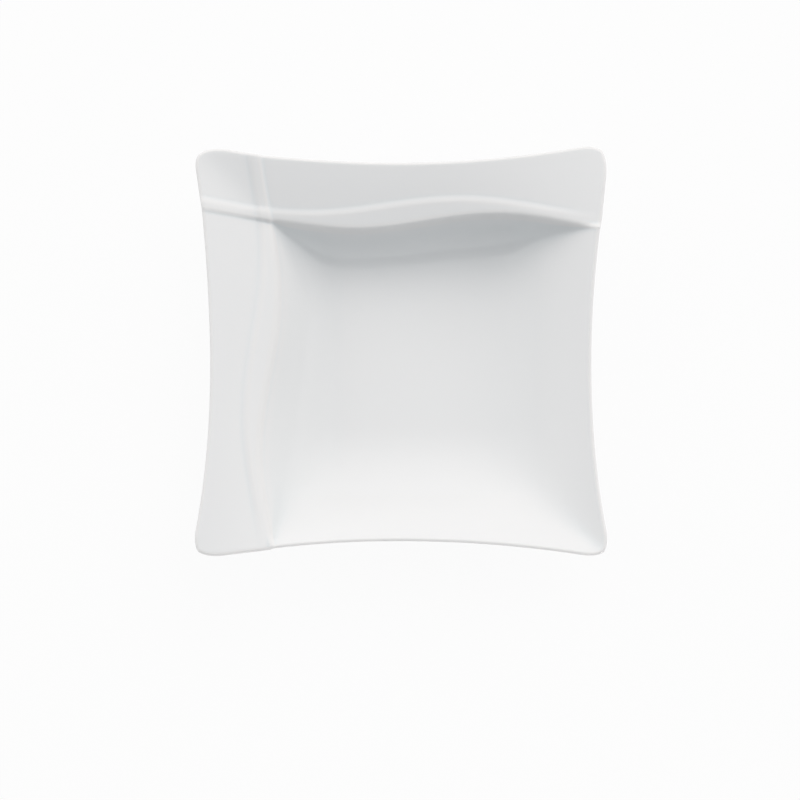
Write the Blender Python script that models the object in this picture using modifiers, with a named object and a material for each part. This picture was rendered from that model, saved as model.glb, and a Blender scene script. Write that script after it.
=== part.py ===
"""Square soup plate in glazed porcelain.

A deep plate with four bowed-in sides. Two wavy relief lines cross near the back left corner: one runs
along the back, one along the left, and each parts a sloping flange from the well. The front and right
walls run straight up to the rim. The plate stands on a round foot ring with a bare standing face, and a
glaze coats everything else.

Metres, +Z up, +X to the right, +Y to the back. The origin lies on the table under the middle of the plate.
Plan places are also given as p, the distance from the left side, and q, the distance from the back side.
"""

import math
from collections import namedtuple

import bmesh
import bpy
import numpy as np

# Plan of the plate, over the glaze
PLATE_SIDE = 0.2438  # square through the corners, before they are rounded
SIDE_BOW = 0.0110  # how far the middle of the left and right sides is drawn in
SIDE_SKEW = 0.20  # share by which that is more in their front half, and less in their back half
END_BOW = 0.0113  # how far the middle of the back and front sides is drawn in
BOW_FADE = 0.0250  # how far in from a side the grid follows its bow
CORNER_REACH = 0.0160  # where the rounding of a corner starts, along each side
BACK_CORNER_REACH = 0.0220  # the same for the back left corner, along the back

# Glaze
GLAZE_GAP = 0.0003  # clearance between the body and its glaze
GLAZE_THICKNESS = 0.0003

# Thickness of the bare body
WALL_THICKNESS = 0.0036
RIM_THICKNESS = 0.0028
RIM_NOSE = 0.0014  # how far the rim's rounded edge stands out, along the slope of the upper face
THICKENING_RUN = 0.3  # share of the way in from the rim to the foot in which the wall reaches its thickness

# Foot ring
FOOT_HEIGHT = 0.0048  # underside of the well above the table
FOOT_RADIUS = 0.0512  # outside of the standing ring
FOOT_SHIFT = 0.0034  # from the middle of the plate to the right, and to the front
FOOT_FLARE = 0.0064  # how far the foot spreads out into the underside
FOOT_WIDTH = 0.0044
FOOT_EASE = 0.0006  # easing on both edges of the standing face
BARE_RISE = 0.0008  # where the glaze starts above the table
RECESS_DEPTH = 0.0034
RECESS_FILLET = 0.0040

# Wave lines, by their distance in from the side they run along
WAVE_LENGTH = 0.1890
BACK_CORNER_LENGTH = 0.2360  # the same for the back line, between the back left corner and its crest
CREASE_DEPTH = 0.0357  # outer foot of the relief, on average
CREASE_SWING = 0.0050
CREASE_CREST = 0.0649  # where the crease lies furthest in, from the back left corner
BAND_WIDTH = 0.0100  # from the crease to the edge of the well, on average
EDGE_SWING = 0.0057
EDGE_CREST = 0.0859
LEFT_TUCK = 0.0004  # how far the edge on the left is drawn to its crease, near the back left corner
BACK_TUCK = 0.0022  # the same at the back
TUCK_PLACE = 0.0550  # where that is most, from the corner
TUCK_RUN = 0.0450  # run in which it fades to each side
LEFT_LEAN = 0.0060  # drift of the left wave line inwards, for each metre along it
BACK_LEAN = 0.0240  # the same for the back wave line
RELIEF_HEIGHT = 0.0010
RELIEF_END_RUN = 0.0400  # run in which the relief fades out before its far end
RELIEF_RISE_RUN = 0.0050
RELIEF_FALL_RUN = 0.0035

# Flanges and the walls under them, with heights above the floor of the well
FLANGE_RISE = 0.0470
EDGE_RISE = 0.0321  # edge of the well along a wave line, on average
FLANGE_TWIST = 0.0120  # how far the edge of the well climbs towards the far end of its wave line
EDGE_SOFTNESS = 0.0018
LEFT_WALL_RUN = 0.0420  # from the edge of the well in to the floor
LEFT_WALL_POWER = 2.2  # how much of the wall's rise lies at its edge, where 2 is a parabola
BACK_WALL_RUN = 0.0550
BACK_WALL_POWER = 4.5

# Front and right walls
PLAIN_RISE = 0.0485
PLAIN_TILT = 0.0850  # share by which a wall is higher at its flange end, and lower at its far end
BEND_RISE = 0.0150  # where the curved foot of the wall meets its straight part
STRAIGHT_RUN = 0.0400
CURVED_RUN = 0.0440
MITRE_SOFTNESS = 0.0100  # rounding where two walls meet, at the floor
RIM_MITRE_SOFTNESS = 0.0020  # the same at the rim
WALL_START_RUN = 0.0100  # run in which a plain wall starts from the edge of a flange

# Facets
GRID_FACETS = (3, 1, 2, 1, 2, 4, 3, 3, 4, 1, 3)  # across the upper face, between its grid lines' stops
STEEP_SHARE = 0.33  # share of the back wall's run, next to its edge, that has the closest grid lines
NOSE_FACETS = 4  # an even count, so that one ring lies where the rim reaches furthest
UNDER_FLANGE_FACETS = 3
UNDER_WALL_FACETS = 6
UNDER_RIM_SHARE = 0.12  # least share of the underside that the flange facets take, beside a plain wall
UNDER_CROWDING = 1.6  # how closely the underside's rings crowd at the edge of the well, where 1 is evenly
FLARE_FACETS = 3
RECESS_FACETS = 3
RECESS_SEGMENTS = 96
WELD_DISTANCE = 0.00001  # corners this close are one corner
SLOPE_STEP = 0.0002  # distance over which a slope is measured

# Finishes: colour, roughness
BODY_FINISH = ((0.78, 0.76, 0.72), 0.65)
GLAZE_FINISH = ((0.86, 0.87, 0.87), 0.12)

# A wave line: its lean, its wave length and its tuck towards the back left corner, the wall under it, and the
# rounding of that corner along the line's side
WaveLine = namedtuple("WaveLine", "lean corner_length tuck wall_run wall_power corner_reach")

# Sizes that follow from the ones above
FLOOR_HEIGHT = FOOT_HEIGHT + WALL_THICKNESS
EDGE_DEPTH = CREASE_DEPTH + BAND_WIDTH
FLANGE_SLOPE = (FLANGE_RISE - EDGE_RISE) / EDGE_DEPTH
PLAIN_SLOPE = (PLAIN_RISE - BEND_RISE) / STRAIGHT_RUN
PLAIN_FLOOR = STRAIGHT_RUN + CURVED_RUN
LEFT_LINE = WaveLine(LEFT_LEAN, WAVE_LENGTH, LEFT_TUCK, LEFT_WALL_RUN, LEFT_WALL_POWER, CORNER_REACH)
BACK_LINE = WaveLine(
    BACK_LEAN, BACK_CORNER_LENGTH, BACK_TUCK, BACK_WALL_RUN, BACK_WALL_POWER, BACK_CORNER_REACH
)
FOOT_CENTRE = np.array((FOOT_SHIFT, -FOOT_SHIFT))
RECESS_RADIUS = FOOT_RADIUS - FOOT_WIDTH


def nose_reach(slope):
    """How far the rounded and glazed rim stands out past the edge of an upper face of this slope."""
    return RIM_NOSE / math.hypot(1, slope) + GLAZE_GAP + GLAZE_THICKNESS


NEAR = nose_reach(FLANGE_SLOPE)
FAR = PLATE_SIDE - nose_reach(PLAIN_SLOPE)


def smooth_step(share):
    """Zero below 0, one above 1, and an S-curve between."""
    share = np.clip(share, 0, 1)
    return share * share * (3 - 2 * share)


def sway(along, line, size, crest):
    """How far a wave line lies from its average depth, at a distance along it: its lean and its swing."""
    wave_length = np.where(along < crest, line.corner_length, WAVE_LENGTH)
    return line.lean * (along - PLATE_SIDE / 2) + size * np.cos(2 * math.pi * (along - crest) / wave_length)


def crease_sway(along, line):
    """How far the relief's outer foot lies from its average depth."""
    return sway(along, line, CREASE_SWING, CREASE_CREST)


def edge_sway(along, line):
    """How far the well's edge lies from its average depth, with a bell curve that draws it to the crease."""
    bell = np.exp(-(((along - TUCK_PLACE) / TUCK_RUN) ** 2))
    return sway(along, line, EDGE_SWING, EDGE_CREST) - line.tuck * bell


def crease_line(along, line):
    """Distance of the relief's outer foot from its side."""
    return CREASE_DEPTH + crease_sway(along, line)


def edge_line(along, line):
    """Distance of the well's edge from its side."""
    return EDGE_DEPTH + edge_sway(along, line)


def flange_height(depth, along, line):
    """A flange falling to the edge of the well, then a wall that eases into the floor."""
    twist = FLANGE_TWIST * np.clip(2 * along / PLATE_SIDE - 1, 0, None) ** 2
    slope = FLANGE_SLOPE - twist / EDGE_DEPTH
    edge = edge_line(along, line)
    floor = EDGE_DEPTH + line.wall_run
    flange = FLANGE_RISE - slope * np.minimum(depth, floor)
    left = np.clip(floor - depth, 0, None) / (floor - edge)
    wall = (FLANGE_RISE - slope * edge) * left**line.wall_power
    return np.clip(-EDGE_SOFTNESS * np.logaddexp(-flange / EDGE_SOFTNESS, -wall / EDGE_SOFTNESS), 0, None)


def plain_height(depth, along, inside):
    """A wall that is straight below the rim and curved above the floor, starting from a flange's edge."""
    power = PLAIN_SLOPE * CURVED_RUN / BEND_RISE
    curved = BEND_RISE * (np.clip(PLAIN_FLOOR - depth, 0, None) / CURVED_RUN) ** power
    wall = np.where(depth < STRAIGHT_RUN, PLAIN_RISE - PLAIN_SLOPE * depth, curved)
    tilt = 1 + PLAIN_TILT * (1 - 2 * along / PLATE_SIDE)
    return wall * tilt * smooth_step(inside / WALL_START_RUN + 1)


def bowl_height(p, q):
    """The upper face without its relief: the highest of the four sides, with soft mitres where two meet."""
    sides = (
        flange_height(p, q, LEFT_LINE),
        flange_height(q, p, BACK_LINE),
        plain_height(PLATE_SIDE - p, q, q - edge_line(p, BACK_LINE)),
        plain_height(PLATE_SIDE - q, p, p - edge_line(q, LEFT_LINE)),
    )
    rough = np.sqrt(sum(side**2 for side in sides))
    softness = MITRE_SOFTNESS + (RIM_MITRE_SOFTNESS - MITRE_SOFTNESS) * smooth_step(rough / PLAIN_RISE)
    return FLOOR_HEIGHT + softness * np.log1p(sum(np.expm1(side / softness) for side in sides))


def relief_height(depth, along, line):
    """A low terrace between the crease and the edge of the well, that fades out at its far end."""
    rise = smooth_step((depth - crease_line(along, line)) / RELIEF_RISE_RUN + 0.5)
    fall = smooth_step((depth - edge_line(along, line)) / RELIEF_FALL_RUN + 0.5)
    end = smooth_step((PLATE_SIDE - along) / RELIEF_END_RUN)
    return RELIEF_HEIGHT * end * (rise - fall)


def upper_height(p, q):
    """The upper face with both relief lines."""
    return bowl_height(p, q) + relief_height(p, q, LEFT_LINE) + relief_height(q, p, BACK_LINE)


def slopes(height, p, q):
    """Slopes of a height formula towards +X and +Y."""
    towards_x = height(p + SLOPE_STEP, q) - height(p - SLOPE_STEP, q)
    towards_y = height(p, q - SLOPE_STEP) - height(p, q + SLOPE_STEP)
    return towards_x / (2 * SLOPE_STEP), towards_y / (2 * SLOPE_STEP)


def spans(stops, counts):
    """Places along a run of stops, with so many equal steps between each pair."""
    pieces = [np.linspace(a, b, count, endpoint=False) for a, b, count in zip(stops, stops[1:], counts)]
    return np.concatenate(pieces + [np.array(stops[-1:])])


def grid_lines():
    """Places of the upper face's grid lines, close together across the relief and the corners."""
    stops = (
        NEAR,
        NEAR + CORNER_REACH,
        CREASE_DEPTH - RELIEF_RISE_RUN / 2,
        CREASE_DEPTH + RELIEF_RISE_RUN / 2,
        EDGE_DEPTH - RELIEF_FALL_RUN / 2,
        EDGE_DEPTH + RELIEF_FALL_RUN / 2,
        EDGE_DEPTH + BACK_WALL_RUN * STEEP_SHARE,
        EDGE_DEPTH + BACK_WALL_RUN,
        PLATE_SIDE - PLAIN_FLOOR,
        PLATE_SIDE - STRAIGHT_RUN,
        FAR - CORNER_REACH,
        FAR,
    )
    return spans(stops, GRID_FACETS)


def placed_lines(depth, along, line, side_bow, skew):
    """Grid lines shifted to follow the waves, the bowed sides and the rounded corners."""
    band = np.clip((depth - CREASE_DEPTH) / BAND_WIDTH, 0, 1)
    crease = crease_sway(along, line)
    edge = edge_sway(along, line)
    fade_in = np.clip((depth - NEAR) / (CREASE_DEPTH - NEAR), 0, 1)
    fade_out = np.clip(1 - (depth - EDGE_DEPTH) / line.wall_run, 0, 1)
    wave = (crease + (edge - crease) * band) * fade_in * fade_out
    from_middle = 2 * along / PLATE_SIDE - 1
    bow = side_bow * (1 - from_middle**2) * (1 + skew * from_middle)
    bowed = np.clip(1 - (depth - NEAR) / BOW_FADE, 0, 1) - np.clip(1 - (FAR - depth) / BOW_FADE, 0, 1)
    here_near, here_far, along_near, along_far = (
        np.clip(1 - distance / CORNER_REACH, 0, 1) ** 2
        for distance in (depth - NEAR, FAR - depth, along - NEAR, FAR - along)
    )
    along_first = np.clip(1 - (along - NEAR) / line.corner_reach, 0, 1) ** 2
    first = line.corner_reach / 4 * here_near * along_first
    others = CORNER_REACH / 4 * (here_near * along_far - here_far * (along_near + along_far))
    return depth + wave + bow * bowed + first + others


def upper_face():
    """Grid of points and normals of the upper face."""
    lines = grid_lines()
    line_p, line_q = np.meshgrid(lines, lines, indexing="ij")
    p = placed_lines(line_p, line_q, LEFT_LINE, SIDE_BOW, SIDE_SKEW)
    q = placed_lines(line_q, line_p, BACK_LINE, END_BOW, 0.0)
    slope_x, slope_y = slopes(upper_height, p, q)
    points = np.stack((p - PLATE_SIDE / 2, PLATE_SIDE / 2 - q, upper_height(p, q)), axis=-1)
    return points, unit(np.stack((-slope_x, -slope_y, np.ones_like(p)), axis=-1))


def unit(vectors):
    """The same directions with length one."""
    return vectors / np.linalg.norm(vectors, axis=-1, keepdims=True)


def border(grid):
    """Border of a square grid, clockwise from its back left corner."""
    return np.concatenate((grid[:-1, 0], grid[-1, :-1], grid[:0:-1, -1], grid[0, :0:-1]))


def in_space(plan, height):
    """Plan vectors and heights put together."""
    return np.concatenate((plan, height[:, None]), axis=-1)


def nose_rings(points, normals):
    """Rings round the rim: a leaning half ellipse from the edge of the upper face to the underside."""
    travel = np.roll(points, -1, axis=0) - np.roll(points, 1, axis=0)
    outward = unit(np.stack((-travel[:, 1], travel[:, 0]), axis=-1))
    slope = -np.sum(normals[:, :2] * outward, axis=-1) / normals[:, 2]
    stretch = np.hypot(1, slope)
    half_height = RIM_THICKNESS / 2 * stretch
    rings = []
    for angle in np.linspace(0, math.pi, NOSE_FACETS + 1)[1:]:
        reach = RIM_NOSE * math.sin(angle) / stretch
        fall = half_height * (1 - math.cos(angle)) - slope * reach
        run = RIM_NOSE * math.cos(angle) / stretch
        steep = half_height * math.sin(angle) - slope * run
        place = points + in_space(reach[:, None] * outward, -fall)
        rings.append((place, unit(in_space(steep[:, None] * outward, run))))
    return rings


def plan_places(plan):
    """Distances of plan points from the left side and from the back side."""
    return plan[:, 0] + PLATE_SIDE / 2, PLATE_SIDE / 2 - plan[:, 1]


def flange_share(outer, inner):
    """Share of the way from outer to inner plan points that lies under a flange."""
    p_outer, q_outer = plan_places(outer)
    p_inner, q_inner = plan_places(inner)
    over_left = np.clip(edge_line(q_outer, LEFT_LINE) - p_outer, 0, None)
    over_back = np.clip(edge_line(p_outer, BACK_LINE) - q_outer, 0, None)
    left = over_left / (over_left + p_inner - edge_line(q_inner, LEFT_LINE))
    back = over_back / (over_back + q_inner - edge_line(p_inner, BACK_LINE))
    return np.maximum(np.maximum(left, back), UNDER_RIM_SHARE)


def underside_rings(start):
    """Rings from the rim in to the foot, a wall thickness below the upper face, one along the well's edge."""
    outer = start[:, :2]
    inner = FOOT_CENTRE + (FOOT_RADIUS + FOOT_FLARE) * unit(outer - FOOT_CENTRE)
    edge = flange_share(outer, inner)
    under_flange = spans((0.0, 1.0, 1.0), (UNDER_FLANGE_FACETS, UNDER_WALL_FACETS))
    under_wall = spans((0.0, 0.0, 1.0), (UNDER_FLANGE_FACETS, UNDER_WALL_FACETS))
    rings = []
    for flange_part, wall_part in zip(under_flange[1:], under_wall[1:]):
        share = edge * (1 - (1 - flange_part) ** UNDER_CROWDING) + (1 - edge) * wall_part**UNDER_CROWDING
        plan = outer + (inner - outer) * share[:, None]
        p, q = plan_places(plan)
        slope_x, slope_y = slopes(bowl_height, p, q)
        thickening = smooth_step(share / THICKENING_RUN)
        thickness = RIM_THICKNESS + (WALL_THICKNESS - RIM_THICKNESS) * thickening
        drop = thickness * np.sqrt(1 + slope_x**2 + slope_y**2)
        normals = unit(np.stack((slope_x, slope_y, -np.ones_like(p)), axis=-1))
        rings.append((in_space(plan, bowl_height(p, q) - drop), normals))
    return rings


def flare_rings(start):
    """Rings down the foot's outer side, a quarter ellipse that ends where the glaze does."""
    outward = unit(start[:, :2] - FOOT_CENTRE)
    fall = start[:, 2] - BARE_RISE
    rings = []
    for angle in np.linspace(0, math.pi / 2, FLARE_FACETS + 1)[1:]:
        radius = FOOT_RADIUS + FOOT_FLARE * (1 - math.sin(angle))
        points = in_space(FOOT_CENTRE + radius * outward, BARE_RISE + fall * math.cos(angle))
        facing = in_space(math.sin(angle) / FOOT_FLARE * outward, -math.cos(angle) / fall)
        rings.append((points, unit(facing)))
    return rings


def recess_profile(inset):
    """Radius and height along the recess from its glaze line to its ceiling, this far off its surface."""
    rise = RECESS_DEPTH - BARE_RISE
    profile = []
    for angle in np.linspace(0, math.pi / 2, RECESS_FACETS + 1):
        facing = np.array((math.cos(angle) / RECESS_FILLET, math.sin(angle) / rise))
        place = np.array((RECESS_FILLET * math.cos(angle), rise * math.sin(angle)))
        radius, height = place - inset * unit(facing)
        profile.append((RECESS_RADIUS - RECESS_FILLET + radius, BARE_RISE + height))
    return profile


def standing_rings(start):
    """Rings across the bare standing face and up into the recess."""
    outward = unit(start[:, :2] - FOOT_CENTRE)
    profile = [(FOOT_RADIUS - FOOT_EASE, 0.0), (RECESS_RADIUS + FOOT_EASE, 0.0)] + recess_profile(0.0)
    return [in_space(FOOT_CENTRE + radius * outward, np.full(len(start), z)) for radius, z in profile]


def add_ring(bm, edges, place, points):
    """Extrudes the open border and moves each new corner to its place on the next ring."""
    made = bmesh.ops.extrude_edge_only(bm, edges=edges)["geom"]
    corners = {item for item in made if isinstance(item, bmesh.types.BMVert)}
    for corner in corners:
        corner.co = points[corner[place]]
    return [item for item in made if isinstance(item, bmesh.types.BMEdge) and corners.issuperset(item.verts)]


def plate_surface(grow):
    """The plate's upper face, rim, underside and outer foot as one open surface, grown by a distance.

    Gives the surface, its open border at the glaze line, the layer that numbers the border's corners and
    the border's points.
    """
    points, normals = upper_face()
    count = len(points)
    edge_points, edge_normals = border(points), border(normals)
    rings = nose_rings(edge_points, edge_normals)
    rings += underside_rings(rings[-1][0])
    rings += flare_rings(rings[-1][0])

    bm = bmesh.new()
    place = bm.verts.layers.int.new("place")
    bmesh.ops.create_grid(bm, x_segments=count - 1, y_segments=count - 1, size=1)
    border_spots = border(np.stack(np.indices((count, count)), axis=-1))
    numbers = {tuple(spot): index for index, spot in enumerate(border_spots)}
    for vert in bm.verts:
        spot = (round((vert.co.x + 1) / 2 * (count - 1)), round((1 - vert.co.y) / 2 * (count - 1)))
        vert[place] = numbers.get(spot, -1)
        vert.co = points[spot] + grow * normals[spot]
    edges = [edge for edge in bm.edges if edge.is_boundary]
    for ring_points, ring_normals in rings:
        edges = add_ring(bm, edges, place, ring_points + grow * ring_normals)
    return bm, edges, place, rings[-1][0]


def close_with_fan(bm, edges):
    """Closes a round opening with triangles that meet in its middle."""
    corners = {vert for edge in edges for vert in edge.verts}
    centre = sum((vert.co for vert in corners), start=next(iter(corners)).co * 0) / len(corners)
    made = bmesh.ops.extrude_edge_only(bm, edges=edges)["geom"]
    middle = [item for item in made if isinstance(item, bmesh.types.BMVert)]
    bmesh.ops.pointmerge(bm, verts=middle, merge_co=centre)


def make_object(name, bm, material, collection, parent):
    """A named object from a finished surface."""
    mesh = bpy.data.meshes.new(name)
    bm.to_mesh(mesh)
    bm.free()
    mesh.shade_smooth()
    mesh.materials.append(material)
    obj = bpy.data.objects.new(name, mesh)
    obj.parent = parent
    collection.objects.link(obj)
    return obj


def make_material(name, finish):
    """A plain coloured finish."""
    colour, roughness = finish
    material = bpy.data.materials.new(name)
    material.use_nodes = True
    shader = material.node_tree.nodes["Principled BSDF"]
    shader.inputs["Base Color"].default_value = (*colour, 1.0)
    shader.inputs["Roughness"].default_value = roughness
    return material


def add_glaze_thickness(obj):
    """Turns an open surface into a glaze of even thickness, outwards."""
    solidify = obj.modifiers.new("glaze thickness", "SOLIDIFY")
    solidify.thickness = GLAZE_THICKNESS
    solidify.offset = 1.0
    solidify.use_even_offset = True


def make_body(material, collection, parent):
    """The fired body: the plate's surface closed by the standing ring and the recess."""
    bm, edges, place, border_points = plate_surface(0.0)
    for points in standing_rings(border_points):
        edges = add_ring(bm, edges, place, points)
    close_with_fan(bm, edges)
    bmesh.ops.recalc_face_normals(bm, faces=bm.faces)
    make_object("porcelain_body", bm, material, collection, parent)


def make_coat(material, collection, parent):
    """The glaze over the eating face, round the rim and down to the foot."""
    bm, _, _, _ = plate_surface(GLAZE_GAP)
    add_glaze_thickness(make_object("glaze_coat", bm, material, collection, parent))


def make_recess_glaze(material, collection, parent):
    """The glaze inside the foot ring, turned about the middle of the foot."""
    profile = recess_profile(GLAZE_GAP)
    bm = bmesh.new()
    corners = [bm.verts.new((radius, 0.0, z)) for radius, z in profile]
    corners.append(bm.verts.new((0.0, 0.0, profile[-1][1])))
    for pair in zip(corners, corners[1:]):
        bm.edges.new(pair)
    glaze = make_object("foot_recess_glaze", bm, material, collection, parent)
    glaze.location = (*FOOT_CENTRE, 0.0)
    turn = glaze.modifiers.new("turn", "SCREW")
    turn.angle = 2 * math.pi
    turn.steps = RECESS_SEGMENTS
    turn.render_steps = RECESS_SEGMENTS
    turn.use_merge_vertices = True
    turn.merge_threshold = WELD_DISTANCE
    add_glaze_thickness(glaze)


def main():
    for obj in list(bpy.data.objects):
        bpy.data.objects.remove(obj, do_unlink=True)
    collection = bpy.data.collections.new("square soup plate")
    bpy.context.scene.collection.children.link(collection)
    plate = bpy.data.objects.new("soup_plate", None)
    collection.objects.link(plate)
    body = make_material("fired porcelain", BODY_FINISH)
    glaze = make_material("white glaze", GLAZE_FINISH)
    make_body(body, collection, plate)
    make_coat(glaze, collection, plate)
    make_recess_glaze(glaze, collection, plate)


main()
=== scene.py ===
"""Square soup plate in white glazed porcelain: its fine surfaces, its finishes and a plain studio.

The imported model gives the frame. Each of its pieces is replaced by a finer surface of the same form,
worked out from the plate's sizes as whole arrays. Metres, +Z up, +X to the right, +Y to the back, with the
origin on the table under the middle of the plate.
"""

import math
from collections import namedtuple

import bpy
import numpy as np
from bpy.props import FloatProperty, FloatVectorProperty, PointerProperty
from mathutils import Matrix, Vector


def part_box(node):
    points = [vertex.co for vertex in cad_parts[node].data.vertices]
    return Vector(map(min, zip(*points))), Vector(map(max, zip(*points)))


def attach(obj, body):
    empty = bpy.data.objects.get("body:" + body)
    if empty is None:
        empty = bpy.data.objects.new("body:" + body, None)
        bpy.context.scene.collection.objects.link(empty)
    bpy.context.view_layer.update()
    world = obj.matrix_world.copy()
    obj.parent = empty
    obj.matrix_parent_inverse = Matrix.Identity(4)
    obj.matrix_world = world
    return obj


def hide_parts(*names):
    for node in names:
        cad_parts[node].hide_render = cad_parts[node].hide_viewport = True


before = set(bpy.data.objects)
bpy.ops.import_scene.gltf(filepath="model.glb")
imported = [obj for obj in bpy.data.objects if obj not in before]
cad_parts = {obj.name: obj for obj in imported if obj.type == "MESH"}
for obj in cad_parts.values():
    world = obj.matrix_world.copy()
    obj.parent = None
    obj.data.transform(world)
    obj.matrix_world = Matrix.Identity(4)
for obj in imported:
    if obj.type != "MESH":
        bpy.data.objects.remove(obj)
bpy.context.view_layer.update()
RECESS_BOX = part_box("foot_recess_glaze")

bl_info = {
    "name": "Square soup plate",
    "version": (1, 0, 0),
    "blender": (4, 5, 0),
    "location": "3D View > Sidebar > Soup plate",
    "description": "A deep square plate in glazed porcelain, with wave relief and a round foot",
    "category": "Add Mesh",
}

# Facets of the fine surfaces
GRID_FACETS = (12, 8, 12, 4, 10, 24, 16, 8, 20, 6, 12)  # between the stops of the upper face's grid lines
STEEP_SHARE = 0.33  # share of the back wall's run, next to its edge, that has the closest grid lines
NOSE_FACETS = 10  # an even count, so that one ring lies where the rim reaches furthest
UNDER_FLANGE_FACETS = 12
UNDER_WALL_FACETS = 20
UNDER_RIM_SHARE = 0.12  # least share of the underside that the flange facets take, beside a plain wall
UNDER_CROWDING = 1.6  # how closely the underside's rings crowd at the edge of the well, where 1 is evenly
FLARE_FACETS = 8
STANDING_FACETS = 4
RECESS_FACETS = 8
RECESS_SEGMENTS = 256
SLOPE_STEP = 0.0002  # distance over which a slope is measured
CURVE_STEP = 0.0015  # distance over which the glaze feels a curve

# Patterns in the finishes, with their scales in lumps for each metre
PATTERN_MIDDLE = 0.5  # level about which a pattern varies
CLOUD_SCALE = 22.0
CLOUD_START = 0.45  # level of the clouds from which they tint the glaze
CLOUD_TINT = 0.35  # share of the pooled colour in a full cloud
CLOUD_ROUGHNESS = 0.06  # how much the clouds vary the gloss
PEEL_SCALE = 170.0
PEEL_HEIGHT = 0.00003
POOLING = 0.006  # share of the pooled or the thin colour for each unit of hollowness
GRAIN_SCALE = 2600.0
GRAIN_START = 0.55  # level of the grain from which it shows grey
GRAIN_ROUGHNESS = 0.2  # how much the grain varies the roughness
GRAIN_HEIGHT = 0.00005
RUB_SCALE = 90.0
RUB_CONTRAST = 3.0
RUB_SHARE = 0.6  # share of the rubbed colour in a full patch

# Soft lamps: name, azimuth and elevation in degrees, distance, width and height in metres, and level, which
# is how bright the lamp alone makes a white card that faces it
SOFTBOXES = (
    ("back right softbox", 150.0, 45.0, 4.4, 4.0, 4.0, 0.51),
    ("back left softbox", 240.0, 30.0, 4.4, 4.0, 4.0, 0.28),
    ("right strip", 90.0, 15.0, 2.2, 1.6, 0.9, 0.12),
    ("left strip", 270.0, 15.0, 2.2, 1.6, 0.9, 0.04),
    ("front strip", 0.0, 1.3, 1.25, 1.2, 0.05, 0.30),
)


def length(name, description, default):
    """A length that a user may change."""
    return FloatProperty(name=name, description=description, default=default, precision=4, unit="LENGTH")


def share(name, description, default):
    """A plain ratio that a user may change."""
    return FloatProperty(
        name=name, description=description, default=default, precision=3, subtype="FACTOR"
    )


def angle(name, description, degrees):
    """An angle that a user may change."""
    return FloatProperty(
        name=name, description=description, default=math.radians(degrees), subtype="ANGLE"
    )


def colour(name, description, default):
    """A colour that a user may change."""
    return FloatVectorProperty(
        name=name, description=description, default=default, subtype="COLOR", min=0.0, max=1.0
    )


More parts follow.
